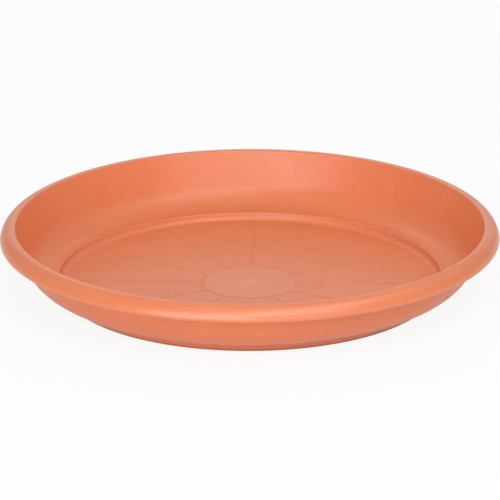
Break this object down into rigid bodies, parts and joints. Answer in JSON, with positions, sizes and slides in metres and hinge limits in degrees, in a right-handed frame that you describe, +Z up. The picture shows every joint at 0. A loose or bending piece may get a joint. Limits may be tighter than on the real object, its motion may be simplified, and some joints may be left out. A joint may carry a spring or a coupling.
{
  "type": "plant saucer",
  "caption": "Round shallow saucer for a flower pot, with a rolled rim, flared wall, sunken floor on a foot, and a low ring and ribs inside.",
  "frame": {"origin": "middle of the circle that the foot stands on", "axes": "+Z up, along the saucer's axis; -Y towards the viewer of the picture"},
  "size_m": [0.3, 0.3, 0.0402],
  "materials": {
    "terracotta_plastic": "satin, terracotta-coloured moulded polypropylene"
  },
  "bodies": {
    "root": {"rim_skirt": "terracotta_plastic", "rim_crown": "terracotta_plastic", "wall_flare": "terracotta_plastic", "wall_corner": "terracotta_plastic", "floor_upright": "terracotta_plastic", "floor_plate": "terracotta_plastic", "foot_ring": "terracotta_plastic", "centre_ring": "terracotta_plastic", "radial_ribs": "terracotta_plastic", "gate_mark": "terracotta_plastic", "insert_mark": "terracotta_plastic"}
  },
  "joints": []
}
